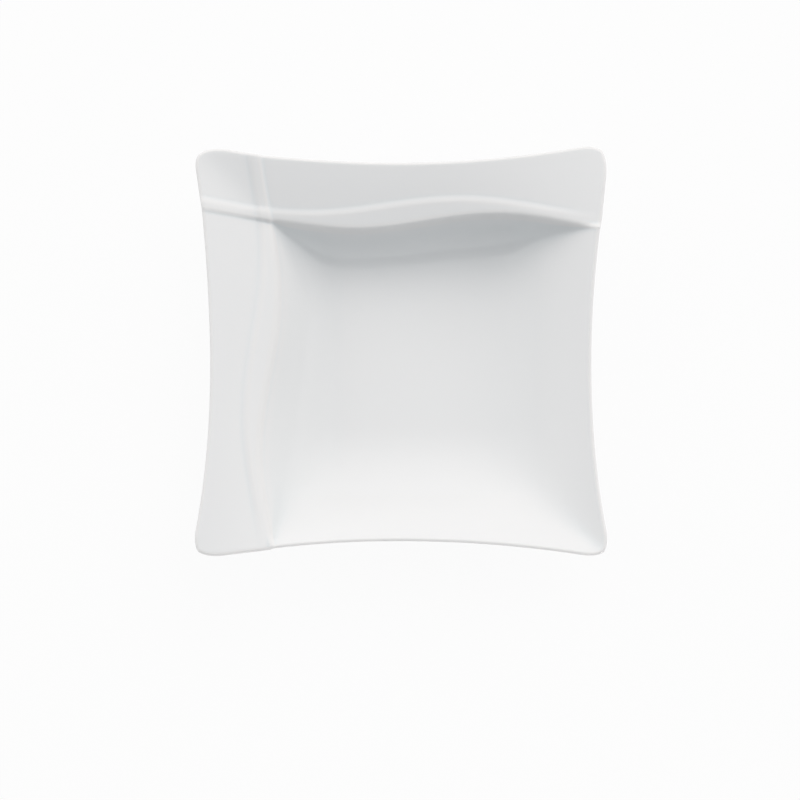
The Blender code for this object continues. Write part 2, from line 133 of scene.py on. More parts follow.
class PlateSizes(bpy.types.PropertyGroup):
    """Sizes of the plate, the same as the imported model's."""

    side: length("Side", "Square through the corners, before they are rounded", 0.2438)
    side_bow: length("Side bow", "How far the middle of the left and right sides is drawn in", 0.0110)
    side_skew: share("Side skew", "Share by which that is more in front, and less at the back", 0.20)
    end_bow: length("End bow", "How far the middle of the back and front sides is drawn in", 0.0113)
    bow_fade: length("Bow fade", "How far in from a side the grid follows its bow", 0.0250)
    corner_reach: length("Corner reach", "Where the rounding of a corner starts, along each side", 0.0160)
    back_corner_reach: length("Back corner reach", "Rounding of the left corner, along the back", 0.0220)
    glaze_gap: length("Glaze gap", "Clearance between the body and its glaze", 0.0003)
    glaze_thickness: length("Glaze thickness", "Thickness of the glaze", 0.0003)
    glaze_bead: length("Glaze bead", "Extra thickness where the glaze gathers at its lower edge", 0.0001)
    wall_thickness: length("Wall thickness", "Thickness of the bare body", 0.0036)
    rim_thickness: length("Rim thickness", "Thickness of the bare body at its rim", 0.0028)
    rim_nose: length("Rim nose", "How far the rim's rounded edge stands out", 0.0014)
    thickening_run: share("Thickening run", "Share of the underside in which the wall thickens", 0.3)
    foot_height: length("Foot height", "Underside of the well above the table", 0.0048)
    foot_radius: length("Foot radius", "Outside of the standing ring", 0.0512)
    foot_flare: length("Foot flare", "How far the foot spreads out into the underside", 0.0064)
    foot_width: length("Foot width", "Width of the foot ring", 0.0044)
    foot_ease: length("Foot ease", "Easing on both edges of the standing face", 0.0006)
    bare_rise: length("Bare rise", "Where the glaze starts above the table", 0.0008)
    recess_depth: length("Recess depth", "Depth of the recess inside the foot", 0.0034)
    recess_fillet: length("Recess fillet", "Rounding in the recess", 0.0040)
    wave_length: length("Wave length", "Length of one wave of the relief lines", 0.1890)
    crease_depth: length("Crease depth", "Outer foot of the relief from its side, on average", 0.0357)
    crease_swing: length("Crease swing", "Swing of the crease to each side", 0.0050)
    crease_crest: length("Crease crest", "Where the crease lies furthest in, from the corner", 0.0649)
    band_width: length("Band width", "From the crease to the edge of the well, on average", 0.0100)
    edge_swing: length("Edge swing", "Swing of the well's edge to each side", 0.0057)
    edge_crest: length("Edge crest", "Where the well's edge lies furthest in, from the corner", 0.0859)
    back_corner_length: length("Back corner length", "Length of the back wave before its crest", 0.2360)
    left_tuck: length("Left tuck", "How far the left edge is drawn to its crease by the corner", 0.0004)
    back_tuck: length("Back tuck", "How far the back edge is drawn to its crease by the corner", 0.0022)
    tuck_place: length("Tuck place", "Where the tuck is most, from the corner", 0.0550)
    tuck_run: length("Tuck run", "Run in which the tuck fades to each side", 0.0450)
    left_lean: share("Left lean", "Drift of the left wave line inwards along it", 0.0060)
    back_lean: share("Back lean", "Drift of the back wave line inwards along it", 0.0240)
    relief_height: length("Relief height", "Height of the raised band", 0.0010)
    relief_end_run: length("Relief end run", "Run in which the band fades out before its far end", 0.0400)
    relief_rise_run: length("Relief rise run", "Width of the slope up to the band", 0.0050)
    relief_fall_run: length("Relief fall run", "Width of the slope down from the band", 0.0035)
    flange_rise: length("Flange rise", "Outer edge of a flange above the well's floor", 0.0470)
    edge_rise: length("Edge rise", "Edge of the well along a wave line, above its floor", 0.0321)
    flange_twist: length("Flange twist", "Climb of the well's edge to its far end", 0.0120)
    edge_softness: length("Edge softness", "Rounding of the well's edge", 0.0018)
    left_wall_run: length("Left wall run", "From the left edge of the well in to its floor", 0.0420)
    left_wall_power: share("Left wall power", "Steepness of that wall at its edge, 2 a parabola", 2.2)
    back_wall_run: length("Back wall run", "From the back edge of the well in to its floor", 0.0550)
    back_wall_power: share("Back wall power", "Steepness of that wall at its edge, 2 a parabola", 4.5)
    plain_rise: length("Plain rise", "Rim of a plain wall above the well's floor", 0.0485)
    plain_tilt: share("Plain tilt", "Share by which a plain wall is higher at its flange end", 0.0850)
    bend_rise: length("Bend rise", "Where a plain wall's curved foot meets its straight part", 0.0150)
    straight_run: length("Straight run", "Width of the straight part of a plain wall", 0.0400)
    curved_run: length("Curved run", "Width of the curved foot of a plain wall", 0.0440)
    mitre_softness: length("Mitre softness", "Rounding where two walls meet, at the floor", 0.0100)
    rim_mitre_softness: length("Rim mitre softness", "Rounding where two walls meet, at the rim", 0.0020)
    wall_start_run: length("Wall start run", "Run in which a plain wall starts at a flange", 0.0100)


class PlateFinish(bpy.types.PropertyGroup):
    """Colours and gloss of the plate."""

    glaze_colour: colour("Glaze colour", "White of the glazed porcelain", (0.855, 0.860, 0.860))
    pooled_colour: colour("Pooled colour", "Colour of the glaze where it gathers", (0.825, 0.845, 0.850))
    thin_colour: colour("Thin colour", "Colour of the glaze where it thins", (0.865, 0.862, 0.855))
    bare_colour: colour("Bare colour", "Colour of the unglazed porcelain", (0.78, 0.76, 0.72))
    rubbed_colour: colour("Rubbed colour", "Grey that the table rubs into the foot", (0.60, 0.58, 0.55))
    gloss_roughness: share("Gloss roughness", "Roughness of the glaze", 0.10)
    bare_roughness: share("Bare roughness", "Roughness of the unglazed porcelain", 0.62)


class StudioSettings(bpy.types.PropertyGroup):
    """Camera, floor and light."""

    camera_distance: length("Camera distance", "From the camera to the plate", 2.1305)
    camera_azimuth: angle("Camera azimuth", "Turn of the camera round the plate", -0.2)
    camera_elevation: angle("Camera elevation", "Height of the camera above the horizon", 82.85)
    camera_drop: length("Camera drop", "How far below the plate's middle the picture aims", 0.0287)
    camera_slide: length("Camera slide", "How far left of the plate's middle the picture aims", 0.0005)
    camera_lens: FloatProperty(name="Lens", description="Focal length", default=165.0, unit="CAMERA")
    aim_height: length("Aim height", "Height of the plate's middle that the camera is set by", 0.05)
    floor_span: length("Floor span", "Width of the floor", 8.0)
    floor_drop: length("Floor drop", "Floor below the standing face", 0.0001)
    floor_shadow: share("Floor shadow", "How much of the shadow shows on the floor", 0.07)
    floor_colour: colour("Floor colour", "Colour of the floor as the plate sees it", (0.80, 0.80, 0.80))
    flag_distance: length("Flag distance", "From the plate to the dark card in front of it", 2.6)
    flag_width: length("Flag width", "Width of the dark card", 3.6)
    flag_height: length("Flag height", "Height of the dark card", 2.2)
    flag_colour: colour("Flag colour", "Colour of the dark card", (0.15, 0.155, 0.16))
    ambient_colour: colour("Ambient colour", "Colour of the light from all sides", (0.915, 0.96, 1.0))
    lamp_colour: colour("Lamp colour", "Colour of the soft lamps", (1.0, 0.94, 0.90))
    ambient_level: share("Ambient level", "Strength of the light from all sides", 0.54)


def smooth_step(part):
    """Zero below 0, one above 1, and an S-curve between."""
    part = np.clip(part, 0, 1)
    return part * part * (3 - 2 * part)


def unit(vectors):
    """The same directions with length one."""
    return vectors / np.linalg.norm(vectors, axis=-1, keepdims=True)


def spans(stops, counts):
    """Places along a run of stops, with so many equal steps between each pair."""
    pieces = [np.linspace(a, b, count, endpoint=False) for a, b, count in zip(stops, stops[1:], counts)]
    return np.concatenate(pieces + [np.array(stops[-1:])])


def border(grid):
    """Border of a square grid, clockwise from its back left corner."""
    return np.concatenate((grid[:-1, 0], grid[-1, :-1], grid[:0:-1, -1], grid[0, :0:-1]))


def in_space(plan, height):
    """Plan vectors and heights put together."""
    return np.concatenate((plan, height[..., None]), axis=-1)


# A wave line: its lean, its wave length and its tuck towards the back left corner, the wall under it, and
# the rounding of that corner along the line's side
WaveLine = namedtuple("WaveLine", "lean corner_length tuck wall_run wall_power corner_reach")


class PlateForm:
    """The plate's surfaces as functions of a place in plan, worked out as whole arrays.

    p is the distance from the left side, and q the distance from the back side.
    """

    def __init__(self, sizes):
        self.sizes = sizes
        low, high = RECESS_BOX
        self.foot_centre = (np.array(low) + np.array(high))[:2] / 2
        self.recess_radius = sizes.foot_radius - sizes.foot_width
        self.floor = sizes.foot_height + sizes.wall_thickness
        self.edge_depth = sizes.crease_depth + sizes.band_width
        self.flange_slope = (sizes.flange_rise - sizes.edge_rise) / self.edge_depth
        self.plain_slope = (sizes.plain_rise - sizes.bend_rise) / sizes.straight_run
        self.plain_floor = sizes.straight_run + sizes.curved_run
        self.left_line = WaveLine(
            sizes.left_lean,
            sizes.wave_length,
            sizes.left_tuck,
            sizes.left_wall_run,
            sizes.left_wall_power,
            sizes.corner_reach,
        )
        self.back_line = WaveLine(
            sizes.back_lean,
            sizes.back_corner_length,
            sizes.back_tuck,
            sizes.back_wall_run,
            sizes.back_wall_power,
            sizes.back_corner_reach,
        )
        self.near = self.nose_reach(self.flange_slope)
        self.far = sizes.side - self.nose_reach(self.plain_slope)

    def nose_reach(self, slope):
        """How far the rounded and glazed rim stands out past the edge of an upper face of this slope."""
        glaze = self.sizes.glaze_gap + self.sizes.glaze_thickness
        return self.sizes.rim_nose / math.hypot(1, slope) + glaze

    def sway(self, along, line, size, crest):
        """A wave line from its average depth: its lean times the distance along it, plus a cosine."""
        wave_length = np.where(along < crest, line.corner_length, self.sizes.wave_length)
        wave = np.cos(2 * math.pi * (along - crest) / wave_length)
        return line.lean * (along - self.sizes.side / 2) + size * wave

    def crease_sway(self, along, line):
        """The relief's outer foot from its average depth."""
        return self.sway(along, line, self.sizes.crease_swing, self.sizes.crease_crest)

    def edge_sway(self, along, line):
        """The well's edge from its average depth, less a bell curve that draws it to the crease."""
        sizes = self.sizes
        bell = np.exp(-(((along - sizes.tuck_place) / sizes.tuck_run) ** 2))
        return self.sway(along, line, sizes.edge_swing, sizes.edge_crest) - line.tuck * bell

    def crease_line(self, along, line):
        """Distance of the relief's outer foot from its side."""
        return self.sizes.crease_depth + self.crease_sway(along, line)

    def edge_line(self, along, line):
        """Distance of the well's edge from its side."""
        return self.edge_depth + self.edge_sway(along, line)

    def flange_height(self, depth, along, line):
        """The lower of a plane falling from the rim and a power curve rising from the floor, softened."""
        sizes = self.sizes
        twist = sizes.flange_twist * np.clip(2 * along / sizes.side - 1, 0, None) ** 2
        slope = self.flange_slope - twist / self.edge_depth
        edge = self.edge_line(along, line)
        floor = self.edge_depth + line.wall_run
        flange = sizes.flange_rise - slope * np.minimum(depth, floor)
        left = np.clip(floor - depth, 0, None) / (floor - edge)
        wall = (sizes.flange_rise - slope * edge) * left**line.wall_power
        soft = sizes.edge_softness
        return np.clip(-soft * np.logaddexp(-flange / soft, -wall / soft), 0, None)

    def plain_height(self, depth, along, inside):
        """A plane below the rim and a power curve above the floor, starting from a flange's edge."""
        sizes = self.sizes
        power = self.plain_slope * sizes.curved_run / sizes.bend_rise
        to_floor = np.clip(self.plain_floor - depth, 0, None)
        curved = sizes.bend_rise * (to_floor / sizes.curved_run) ** power
        straight = sizes.plain_rise - self.plain_slope * depth
        wall = np.where(depth < sizes.straight_run, straight, curved)
        tilt = 1 + sizes.plain_tilt * (1 - 2 * along / sizes.side)
        return wall * tilt * smooth_step(inside / sizes.wall_start_run + 1)

    def bowl_height(self, p, q):
        """The highest of the four sides, with a rounding where two meet that narrows towards the rim."""
        sizes = self.sizes
        sides = (
            self.flange_height(p, q, self.left_line),
            self.flange_height(q, p, self.back_line),
            self.plain_height(sizes.side - p, q, q - self.edge_line(p, self.back_line)),
            self.plain_height(sizes.side - q, p, p - self.edge_line(q, self.left_line)),
        )
        rough = np.sqrt(sum(side**2 for side in sides))
        at_rim = smooth_step(rough / sizes.plain_rise)
        soft = sizes.mitre_softness + (sizes.rim_mitre_softness - sizes.mitre_softness) * at_rim
        return self.floor + soft * np.log1p(sum(np.expm1(side / soft) for side in sides))

    def relief_height(self, depth, along, line):
        """A terrace that fades out at its far end: an S-curve up at the crease and one down at the edge."""
        sizes = self.sizes
        rise = smooth_step((depth - self.crease_line(along, line)) / sizes.relief_rise_run + 0.5)
        fall = smooth_step((depth - self.edge_line(along, line)) / sizes.relief_fall_run + 0.5)
        end = smooth_step((sizes.side - along) / sizes.relief_end_run)
        return sizes.relief_height * end * (rise - fall)

    def upper_height(self, p, q):
        """The bowl with both relief lines on it."""
        left = self.relief_height(p, q, self.left_line)
        back = self.relief_height(q, p, self.back_line)
        return self.bowl_height(p, q) + left + back

    @staticmethod
    def slopes(height, p, q):
        """Slopes of a height formula towards +X and +Y."""
        towards_x = height(p + SLOPE_STEP, q) - height(p - SLOPE_STEP, q)
        towards_y = height(p, q - SLOPE_STEP) - height(p, q + SLOPE_STEP)
        return towards_x / (2 * SLOPE_STEP), towards_y / (2 * SLOPE_STEP)

    def hollowness(self, p, q):
        """How hollow the upper face is: mean height of four neighbours over its own, as a curvature."""
        step = CURVE_STEP
        around = (
            self.upper_height(p + step, q)
            + self.upper_height(p - step, q)
            + self.upper_height(p, q + step)
            + self.upper_height(p, q - step)
        )
        return (around - 4 * self.upper_height(p, q)) / step**2

    def grid_lines(self):
        """Places of the upper face's grid lines, close together across the relief and the corners."""
        sizes = self.sizes
        stops = (
            self.near,
            self.near + sizes.corner_reach,
            sizes.crease_depth - sizes.relief_rise_run / 2,
            sizes.crease_depth + sizes.relief_rise_run / 2,
            self.edge_depth - sizes.relief_fall_run / 2,
            self.edge_depth + sizes.relief_fall_run / 2,
            self.edge_depth + sizes.back_wall_run * STEEP_SHARE,
            self.edge_depth + sizes.back_wall_run,
            sizes.side - self.plain_floor,
            sizes.side - sizes.straight_run,
            self.far - sizes.corner_reach,
            self.far,
        )
        return spans(stops, GRID_FACETS)

    def placed_lines(self, depth, along, line, side_bow, skew=0.0):
        """Grid lines moved by the waves, by the parabola of the bowed sides and by the round corners."""
        sizes = self.sizes
        band = np.clip((depth - sizes.crease_depth) / sizes.band_width, 0, 1)
        crease = self.crease_sway(along, line)
        edge = self.edge_sway(along, line)
        fade_in = np.clip((depth - self.near) / (sizes.crease_depth - self.near), 0, 1)
        fade_out = np.clip(1 - (depth - self.edge_depth) / line.wall_run, 0, 1)
        wave = (crease + (edge - crease) * band) * fade_in * fade_out
        from_middle = 2 * along / sizes.side - 1
        bow = side_bow * (1 - from_middle**2) * (1 + skew * from_middle)
        from_near = np.clip(1 - (depth - self.near) / sizes.bow_fade, 0, 1)
        from_far = np.clip(1 - (self.far - depth) / sizes.bow_fade, 0, 1)
        here_near, here_far, along_near, along_far = (
            np.clip(1 - distance / sizes.corner_reach, 0, 1) ** 2
            for distance in (depth - self.near, self.far - depth, along - self.near, self.far - along)
        )
        along_first = np.clip(1 - (along - self.near) / line.corner_reach, 0, 1) ** 2
        first = line.corner_reach / 4 * here_near * along_first
        others = sizes.corner_reach / 4 * (here_near * along_far - here_far * (along_near + along_far))
        return depth + wave + bow * (from_near - from_far) + first + others

    def upper_face(self):
        """Points, normals and hollowness of the upper face on its grid."""
        sizes = self.sizes
        lines = self.grid_lines()
        line_p, line_q = np.meshgrid(lines, lines, indexing="ij")
        p = self.placed_lines(line_p, line_q, self.left_line, sizes.side_bow, sizes.side_skew)
        q = self.placed_lines(line_q, line_p, self.back_line, sizes.end_bow)
        slope_x, slope_y = self.slopes(self.upper_height, p, q)
        points = np.stack((p - sizes.side / 2, sizes.side / 2 - q, self.upper_height(p, q)), axis=-1)
        normals = unit(np.stack((-slope_x, -slope_y, np.ones_like(p)), axis=-1))
        return points, normals, self.hollowness(p, q)

    def nose_rings(self, points, normals):
        """Leaning half ellipses round the rim, from the edge of the upper face to the underside."""
        travel = np.roll(points, -1, axis=0) - np.roll(points, 1, axis=0)
        outward = unit(np.stack((-travel[:, 1], travel[:, 0]), axis=-1))
        slope = -np.sum(normals[:, :2] * outward, axis=-1) / normals[:, 2]
        stretch = np.hypot(1, slope)
        half_height = self.sizes.rim_thickness / 2 * stretch
        turn = np.linspace(0, math.pi, NOSE_FACETS + 1)[1:, None]
        reach = self.sizes.rim_nose * np.sin(turn) / stretch
        fall = half_height * (1 - np.cos(turn)) - slope * reach
        run = self.sizes.rim_nose * np.cos(turn) / stretch
        steep = half_height * np.sin(turn) - slope * run
        rings = points + in_space(reach[..., None] * outward, -fall)
        return rings, unit(in_space(steep[..., None] * outward, run))

    def plan_places(self, plan):
        """Distances of plan points from the left side and from the back side."""
        return plan[..., 0] + self.sizes.side / 2, self.sizes.side / 2 - plan[..., 1]

    def flange_share(self, outer, inner):
        """Share of the way from outer to inner plan points that lies under a flange."""
        p_outer, q_outer = self.plan_places(outer)
        p_inner, q_inner = self.plan_places(inner)
        over_left = np.clip(self.edge_line(q_outer, self.left_line) - p_outer, 0, None)
        over_back = np.clip(self.edge_line(p_outer, self.back_line) - q_outer, 0, None)
        left = over_left / (over_left + p_inner - self.edge_line(q_inner, self.left_line))
        back = over_back / (over_back + q_inner - self.edge_line(p_inner, self.back_line))
        return np.maximum(np.maximum(left, back), UNDER_RIM_SHARE)

    def underside_rings(self, start):
        """Straight rays in plan from the rim to a circle round the foot, a thickness below the bowl."""
        sizes = self.sizes
        outer = start[:, :2]
        inner = self.foot_centre + (sizes.foot_radius + sizes.foot_flare) * unit(outer - self.foot_centre)
        edge = self.flange_share(outer, inner)
        counts = (UNDER_FLANGE_FACETS, UNDER_WALL_FACETS)
        under_flange = 1 - (1 - spans((0.0, 1.0, 1.0), counts)[1:, None]) ** UNDER_CROWDING
        under_wall = spans((0.0, 0.0, 1.0), counts)[1:, None] ** UNDER_CROWDING
        way = edge * under_flange + (1 - edge) * under_wall
        plan = outer + (inner - outer) * way[..., None]
        p, q = self.plan_places(plan)
        slope_x, slope_y = self.slopes(self.bowl_height, p, q)
        thickening = smooth_step(way / sizes.thickening_run)
        thickness = sizes.rim_thickness + (sizes.wall_thickness - sizes.rim_thickness) * thickening
        drop = thickness * np.sqrt(1 + slope_x**2 + slope_y**2)
        normals = unit(np.stack((slope_x, slope_y, -np.ones_like(p)), axis=-1))
        return in_space(plan, self.bowl_height(p, q) - drop), normals

    def flare_rings(self, start):
        """Quarter ellipses down the foot's outer side, to where the glaze ends."""
        sizes = self.sizes
        outward = unit(start[:, :2] - self.foot_centre)
        fall = start[:, 2] - sizes.bare_rise
        turn = np.linspace(0, math.pi / 2, FLARE_FACETS + 1)[1:, None]
        radius = sizes.foot_radius + sizes.foot_flare * (1 - np.sin(turn))
        plan = self.foot_centre + radius[..., None] * outward
        points = in_space(plan, sizes.bare_rise + fall * np.cos(turn))
        across = np.sin(turn)[..., None] / sizes.foot_flare * outward
        return points, unit(in_space(across, -np.cos(turn) / fall))

    def recess_profile(self, inset):
        """Radius and height along a quarter ellipse from the recess's glaze line to its ceiling."""
        sizes = self.sizes
        rise = sizes.recess_depth - sizes.bare_rise
        turn = np.linspace(0, math.pi / 2, RECESS_FACETS + 1)
        place = np.stack((sizes.recess_fillet * np.cos(turn), rise * np.sin(turn)), axis=-1)
        facing = unit(np.stack((np.cos(turn) / sizes.recess_fillet, np.sin(turn) / rise), axis=-1))
        return place - inset * facing + (self.recess_radius - sizes.recess_fillet, sizes.bare_rise)

    def standing_rings(self, start):
        """Circles across the bare standing face and up into the recess."""
        sizes = self.sizes
        outward = unit(start[:, :2] - self.foot_centre)
        outside = sizes.foot_radius - sizes.foot_ease
        inside = self.recess_radius + sizes.foot_ease
        across = np.linspace(outside, inside, STANDING_FACETS)
        flat = np.stack((across, np.zeros_like(across)), axis=-1)
        profile = np.concatenate((flat, self.recess_profile(0.0)))
        plan = self.foot_centre + profile[:, :1, None] * outward
        return in_space(plan, np.broadcast_to(profile[:, 1:], plan.shape[:2]))

    def skin(self):
        """The body's skin down to the glaze line.

        Gives the grid of the upper face and the rings below its border, both as points, normals and
        hollowness.
        """
        grid = self.upper_face()
        points, normals = self.nose_rings(border(grid[0]), border(grid[1]))
        under_points, under_normals = self.underside_rings(points[-1])
        flare_points, flare_normals = self.flare_rings(under_points[-1])
        bend = np.sin(np.linspace(0, math.pi, NOSE_FACETS + 1)[1:])
        gather = np.sin(np.linspace(0, math.pi, FLARE_FACETS + 1)[1:])
        hollow = np.concatenate(
            (
                -2 / self.sizes.rim_thickness * bend,
                np.zeros(len(under_points)),
                gather / self.sizes.foot_flare,
            )
        )
        rings = (
            np.concatenate((points, under_points, flare_points)),
            np.concatenate((normals, under_normals, flare_normals)),
            np.repeat(hollow[:, None], points.shape[1], axis=1),
        )
        return grid, rings


def grid_faces(numbers):
    """Four-sided faces between neighbouring rows and columns of corner numbers."""
    corners = (numbers[:-1, :-1], numbers[:-1, 1:], numbers[1:, 1:], numbers[1:, :-1])
    return np.stack(corners, axis=-1).reshape(-1, 4)


def ring_faces(numbers):
    """Four-sided faces between neighbouring rings of corner numbers, each ring closed on itself."""
    ahead = np.roll(numbers, -1, axis=1)
    return np.stack((numbers[:-1], ahead[:-1], ahead[1:], numbers[1:]), axis=-1).reshape(-1, 4)


def fan_faces(ring, centre):
    """Triangles from a ring of corner numbers to the number of its centre."""
    return np.stack((ring, np.roll(ring, -1), np.full_like(ring, centre)), axis=-1)


def skin_numbers(grid, rings):
    """Corner numbers of a skin: its upper grid, then its rings with the grid's border before them."""
    count = grid.shape[0] * grid.shape[1]
    upper = np.arange(count).reshape(grid.shape[:2])
    lower = count + np.arange(rings.shape[0] * rings.shape[1]).reshape(rings.shape[:2])
    return upper, np.concatenate((border(upper)[None], lower))


def make_piece(name, node, points, faces, material, hollow=None):
    """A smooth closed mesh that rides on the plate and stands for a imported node."""
    mesh = bpy.data.meshes.new(name)
    mesh.from_pydata(points.tolist(), [], [face for block in faces for face in block.tolist()])
    mesh.update()
    mesh.shade_smooth()
    if hollow is not None:
        values = mesh.attributes.new("hollow", "FLOAT", "POINT").data
        values.foreach_set("value", hollow.astype(np.float32))
    mesh.materials.append(material)
    piece = bpy.data.objects.new(name, mesh)
    bpy.context.scene.collection.objects.link(piece)
    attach(piece, "root")
    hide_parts(node)


class Wire:
    """A socket of a node tree, on which Python's arithmetic adds Math nodes."""

    def __init__(self, tree, socket=None):
        self.tree = tree
        self.socket = socket

    def node(self, kind, settings=None, inputs=None, output=0):
        """Adds a node, with its settings first and then a value or a link for each of its sockets."""
        node = self.tree.nodes.new(kind)
        for key, value in (settings or {}).items():
            setattr(node, key, value)
        for key, value in (inputs or {}).items():
            if isinstance(value, Wire):
                self.tree.links.new(value.socket, node.inputs[key])
            else:
                node.inputs[key].default_value = value
        return Wire(self.tree, node.outputs[output])

    def math(self, operation, first, second):
        """A Math node on two values."""
        return self.node("ShaderNodeMath", {"operation": operation}, {0: first, 1: second})

    def __add__(self, other):
        return self.math("ADD", self, other)

    def __radd__(self, other):
        return self.math("ADD", other, self)

    def __sub__(self, other):
        return self.math("SUBTRACT", self, other)

    def __rsub__(self, other):
        return self.math("SUBTRACT", other, self)

    def __mul__(self, other):
        return self.math("MULTIPLY", self, other)

    def __rmul__(self, other):
        return self.math("MULTIPLY", other, self)

    def clamped(self):
        """The value kept between 0 and 1."""
        return self.node("ShaderNodeClamp", inputs={"Value": self})

    def noise(self, place, scale, detail):
        """A cloudy pattern around one half, with so many lumps for each metre."""
        return self.node("ShaderNodeTexNoise", inputs={"Vector": place, "Scale": scale, "Detail": detail})

    def mixed(self, first, second, part):
        """A colour between two colours."""
        return self.node(
            "ShaderNodeMix", {"data_type": "RGBA"}, {"Factor": part, "A": first, "B": second}, output=2
        )

    def bump(self, height, distance):
        """A normal that leans with a height pattern."""
        return self.node("ShaderNodeBump", inputs={"Height": height, "Distance": distance})


def rgba(tone):
    """A colour with full alpha."""
    return (*tone, 1.0)


def new_material(name):
    """A material with its shader and a wire for its node tree."""
    material = bpy.data.materials.new(name)
    material.use_nodes = True
    return material, material.node_tree.nodes["Principled BSDF"], Wire(material.node_tree)


def glaze_material(finish):
    """White gloss: blue where it pools, warm where it thins, with faint clouds and a soft orange peel."""
    material, shader, wire = new_material("white glaze")
    place = wire.node("ShaderNodeTexCoord", output="Object")
    hollow = wire.node("ShaderNodeAttribute", {"attribute_name": "hollow"}, output="Fac")
    clouds = wire.noise(place, CLOUD_SCALE, detail=3.0)
    peel = wire.noise(place, PEEL_SCALE, detail=2.0)
    pooled = (hollow * POOLING).clamped()
    thin = (hollow * -POOLING).clamped()
    tone = wire.mixed(rgba(finish.glaze_colour), rgba(finish.pooled_colour), pooled)
    tone = wire.mixed(tone, rgba(finish.thin_colour), thin)
    tone = wire.mixed(tone, rgba(finish.pooled_colour), (clouds - CLOUD_START).clamped() * CLOUD_TINT)
    gloss = finish.gloss_roughness + (clouds - PATTERN_MIDDLE) * CLOUD_ROUGHNESS
    links = material.node_tree.links
    links.new(tone.socket, shader.inputs["Base Color"])
    links.new(gloss.socket, shader.inputs["Roughness"])
    links.new(wire.bump(peel, PEEL_HEIGHT).socket, shader.inputs["Normal"])
    return material


def bare_material(finish):
    """Unglazed porcelain: a fine grain, rubbed grey in patches."""
    material, shader, wire = new_material("fired porcelain")
    place = wire.node("ShaderNodeTexCoord", output="Object")
    grain = wire.noise(place, GRAIN_SCALE, detail=4.0)
    patches = wire.noise(place, RUB_SCALE, detail=5.0)
    rubbed = ((patches - PATTERN_MIDDLE) * RUB_CONTRAST).clamped() * RUB_SHARE
    tone = wire.mixed(rgba(finish.bare_colour), rgba(finish.rubbed_colour), rubbed)
    tone = wire.mixed(tone, rgba(finish.rubbed_colour), (grain - GRAIN_START).clamped())
    rough = finish.bare_roughness + (grain - PATTERN_MIDDLE) * GRAIN_ROUGHNESS
    links = material.node_tree.links
    links.new(tone.socket, shader.inputs["Base Color"])
    links.new(rough.socket, shader.inputs["Roughness"])
    links.new(wire.bump(grain, GRAIN_HEIGHT).socket, shader.inputs["Normal"])
    return material


class PlateOperator:
    """What the operators of the plate's pieces share."""

    bl_options = {"REGISTER", "UNDO"}

    @staticmethod
    def glaze(context):
        """The glaze, made for the first piece that asks for it."""
        return bpy.data.materials.get("white glaze") or glaze_material(context.scene.soup_plate_finish)


class SOUPPLATE_OT_body(PlateOperator, bpy.types.Operator):
    """Builds the fired body with its bare standing ring"""

    bl_idname = "soup_plate.body"
    bl_label = "Porcelain body"

    def execute(self, context):
        form = PlateForm(context.scene.soup_plate_sizes)
        (grid, _, _), (rings, _, _) = form.skin()
        rings = np.concatenate((rings, form.standing_rings(rings[-1])))
        upper, lower = skin_numbers(grid, rings)
        centre = rings[-1].mean(axis=0, keepdims=True)
        points = np.concatenate((grid.reshape(-1, 3), rings.reshape(-1, 3), centre))
        faces = (grid_faces(upper), ring_faces(lower), fan_faces(lower[-1], len(points) - 1))
        material = bare_material(context.scene.soup_plate_finish)
        make_piece("fired_body", "porcelain_body", points, faces, material)
        return {"FINISHED"}


class SOUPPLATE_OT_coat(PlateOperator, bpy.types.Operator):
    """Builds the glaze over the eating face, round the rim and down to the foot"""

    bl_idname = "soup_plate.coat"
    bl_label = "Glaze coat"

    def execute(self, context):
        sizes = context.scene.soup_plate_sizes
        (grid, grid_normals, grid_hollow), (rings, ring_normals, ring_hollow) = PlateForm(sizes).skin()
        inner = sizes.glaze_gap
        outer = inner + sizes.glaze_thickness
        swell = np.zeros((len(rings), 1, 1))
        swell[-FLARE_FACETS:, 0, 0] = np.linspace(0, 1, FLARE_FACETS) ** 3
        ring_outer = outer + sizes.glaze_bead * swell
        layers = []
        for on_grid, on_rings in ((outer, ring_outer), (inner, inner)):
            layers.append((grid + on_grid * grid_normals).reshape(-1, 3))
            layers.append((rings + on_rings * ring_normals).reshape(-1, 3))
        upper, lower = skin_numbers(grid, rings)
        count = len(layers[0]) + len(layers[1])
        ends = np.stack((lower[-1], lower[-1] + count))
        outside = (grid_faces(upper), ring_faces(lower))
        inside = tuple(faces[:, ::-1] + count for faces in outside)
        hollow = np.tile(np.concatenate((grid_hollow.ravel(), ring_hollow.ravel())), 2)
        make_piece(
            "gloss_coat",
            "glaze_coat",
            np.concatenate(layers),
            (*outside, *inside, ring_faces(ends)),
            self.glaze(context),
            hollow,
        )
        return {"FINISHED"}


